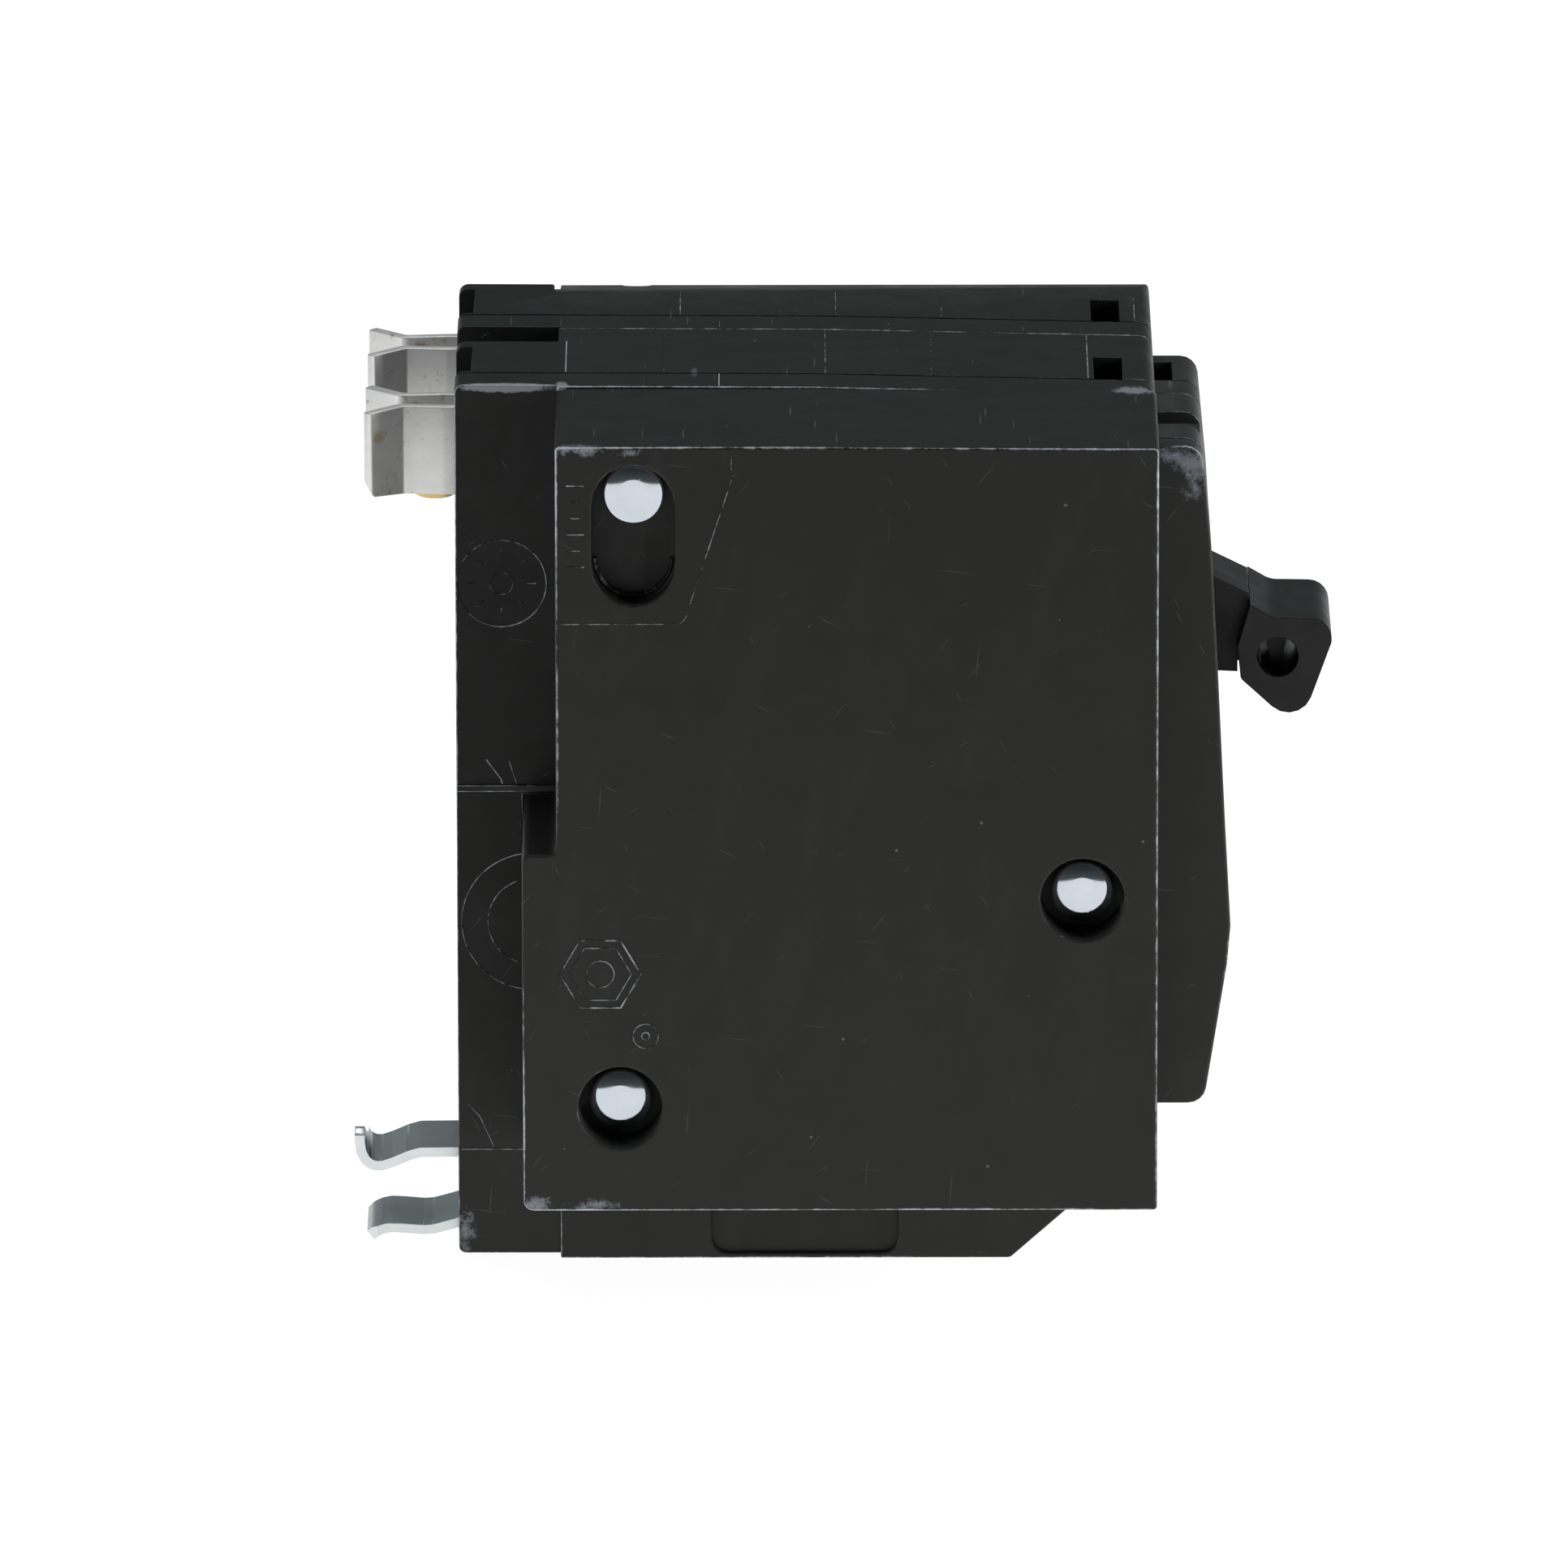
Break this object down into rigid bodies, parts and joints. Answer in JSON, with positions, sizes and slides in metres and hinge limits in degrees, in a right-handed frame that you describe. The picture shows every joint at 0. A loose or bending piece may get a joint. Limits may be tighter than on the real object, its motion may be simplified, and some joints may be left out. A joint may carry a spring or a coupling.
{
  "type": "circuit breaker",
  "caption": "Plug-on circuit breaker with line jaws, a rail clip, contact arms on a shared rocking handle, screw terminals and a riveted side module with a shunt-trip solenoid.",
  "frame": {"origin": "middle of the bounding box, on the surface that the load end stands on", "axes": "+Z towards the line end with the jaws, +X towards the handle, +Y away from the shunt-trip module"},
  "size_m": [0.0855, 0.0572, 0.0792],
  "materials": {
    "case_plastic": "fine moulded texture, worn grey along the edges",
    "handle_plastic": "fine satin moulding",
    "inner_plastic": "matt moulding",
    "bobbin_nylon": "natural nylon",
    "bright_rivet_plating": "bright zinc plating",
    "zinc_steel": "dull zinc plating",
    "tinned_copper": "tin plating, slightly stained",
    "copper": "bare copper",
    "silver_contact": "silver alloy",
    "bimetal": "rolled strip",
    "brass": "turned brass"
  },
  "bodies": {
    "root": {"pole_a_base": "case_plastic", "pole_a_cover": "case_plastic", "pole_b_base": "case_plastic", "pole_b_cover": "case_plastic", "accessory_housing": "case_plastic", "accessory_back_plate": "inner_plastic", "case_rivet_top": "bright_rivet_plating", "case_rivet_front": "bright_rivet_plating", "case_rivet_back": "bright_rivet_plating", "rail_clip": "zinc_steel", "handle_pivot_pin": "zinc_steel", "solenoid_frame": "zinc_steel", "solenoid_bobbin": "bobbin_nylon", "solenoid_coil": "copper", "plunger_spring": "zinc_steel", "line_jaw_a": "tinned_copper", "line_terminal_a": "copper", "fixed_contact_a": "silver_contact", "arc_chute_a": "zinc_steel", "cradle_pin_a": "zinc_steel", "bimetal_strip_a": "bimetal", "magnet_yoke_a": "zinc_steel", "flexible_braid_a": "copper", "operating_spring_a": "zinc_steel", "load_terminal_a": "tinned_copper", "terminal_lug_a": "zinc_steel", "calibration_screw_a": "brass", "line_jaw_b": "tinned_copper", "line_terminal_b": "copper", "fixed_contact_b": "silver_contact", "arc_chute_b": "zinc_steel", "cradle_pin_b": "zinc_steel", "bimetal_strip_b": "bimetal", "magnet_yoke_b": "zinc_steel", "flexible_braid_b": "copper", "operating_spring_b": "zinc_steel", "load_terminal_b": "tinned_copper", "terminal_lug_b": "zinc_steel", "calibration_screw_b": "brass"},
    "handle": {"handle_lever": "handle_plastic", "handle_cap": "handle_plastic"},
    "contact_arm_a": {"contact_arm_a": "copper", "moving_contact_a": "silver_contact"},
    "contact_arm_b": {"contact_arm_b": "copper", "moving_contact_b": "silver_contact"},
    "trip_crossbar": {"trip_crossbar": "inner_plastic"},
    "trip_cradle_a": {"trip_cradle_a": "zinc_steel"},
    "armature_a": {"armature_a": "zinc_steel"},
    "trip_cradle_b": {"trip_cradle_b": "zinc_steel"},
    "armature_b": {"armature_b": "zinc_steel"},
    "plunger": {"solenoid_plunger": "zinc_steel"},
    "clamp_plate_a": {"clamp_plate_a": "zinc_steel"},
    "terminal_screw_a": {"terminal_screw_a": "zinc_steel"},
    "clamp_plate_b": {"clamp_plate_b": "zinc_steel"},
    "terminal_screw_b": {"terminal_screw_b": "zinc_steel"}
  },
  "joints": [
    {"name": "handle_pivot", "type": "hinge", "parent": "root", "child": "handle", "pos_m": [0.0239, 0.00953, 0.0565], "axis": [0, -1, 0], "range_deg": [0, 42]},
    {"name": "contact_arm_a_notch", "type": "hinge", "parent": "handle", "child": "contact_arm_a", "pos_m": [0.01898, 0.01755, 0.05737], "axis": [0, -1, 0], "range_deg": [-61.2, 0], "deforming": ["operating_spring_a", "flexible_braid_a"]},
    {"name": "contact_arm_b_notch", "type": "hinge", "parent": "handle", "child": "contact_arm_b", "pos_m": [0.01898, -0.0015, 0.05737], "axis": [0, -1, 0], "range_deg": [-61.2, 0], "deforming": ["operating_spring_b", "flexible_braid_b"]},
    {"name": "crossbar_turn", "type": "hinge", "parent": "root", "child": "trip_crossbar", "pos_m": [0.0074, 0, 0.024], "axis": [0, -1, 0], "range_deg": [0, 15]},
    {"name": "cradle_a_turn", "type": "hinge", "parent": "root", "child": "trip_cradle_a", "pos_m": [-0.0166, 0.01755, 0.04], "axis": [0, -1, 0], "range_deg": [0, 12.1]},
    {"name": "armature_a_swing", "type": "hinge", "parent": "root", "child": "armature_a", "pos_m": [0.0138, 0.01755, 0.0175], "axis": [0, 1, 0], "range_deg": [0, 4], "stiffness_Nm_per_rad": 0.005, "springref_deg": -8.59},
    {"name": "cradle_b_turn", "type": "hinge", "parent": "root", "child": "trip_cradle_b", "pos_m": [-0.0166, -0.0015, 0.04], "axis": [0, -1, 0], "range_deg": [0, 12.1]},
    {"name": "armature_b_swing", "type": "hinge", "parent": "root", "child": "armature_b", "pos_m": [0.0138, -0.0015, 0.0175], "axis": [0, 1, 0], "range_deg": [0, 4], "stiffness_Nm_per_rad": 0.005, "springref_deg": -8.59},
    {"name": "plunger_slide", "type": "slide", "parent": "root", "child": "plunger", "axis": [0, 0, -1], "range_m": [0, 0.002], "stiffness_N_per_m": 120, "springref_m": -0.003, "deforming": ["plunger_spring"]},
    {"name": "clamp_a_slide", "type": "slide", "parent": "root", "child": "clamp_plate_a", "axis": [-1, 0, 0], "range_m": [0, 0.0032]},
    {"name": "screw_a_turn", "type": "hinge", "parent": "clamp_plate_a", "child": "terminal_screw_a", "pos_m": [0.0164, 0.01905, 0.0076], "axis": [-1, 0, 0], "range_deg": [0, 1440]},
    {"name": "clamp_b_slide", "type": "slide", "parent": "root", "child": "clamp_plate_b", "axis": [-1, 0, 0], "range_m": [0, 0.0032]},
    {"name": "screw_b_turn", "type": "hinge", "parent": "clamp_plate_b", "child": "terminal_screw_b", "pos_m": [0.0164, 0, 0.0076], "axis": [-1, 0, 0], "range_deg": [0, 1440]}
  ],
  "couplings": [
    {"joint": "contact_arm_a_notch", "follows": "handle_pivot", "ratio": -1.4524},
    {"joint": "contact_arm_b_notch", "follows": "handle_pivot", "ratio": -1.4524},
    {"joint": "cradle_a_turn", "follows": "crossbar_turn", "ratio": 0.8},
    {"joint": "cradle_b_turn", "follows": "crossbar_turn", "ratio": 0.8},
    {"joint": "screw_a_turn", "follows": "clamp_a_slide", "rad_per_m": 7854},
    {"joint": "screw_b_turn", "follows": "clamp_b_slide", "rad_per_m": 7854}
  ]
}
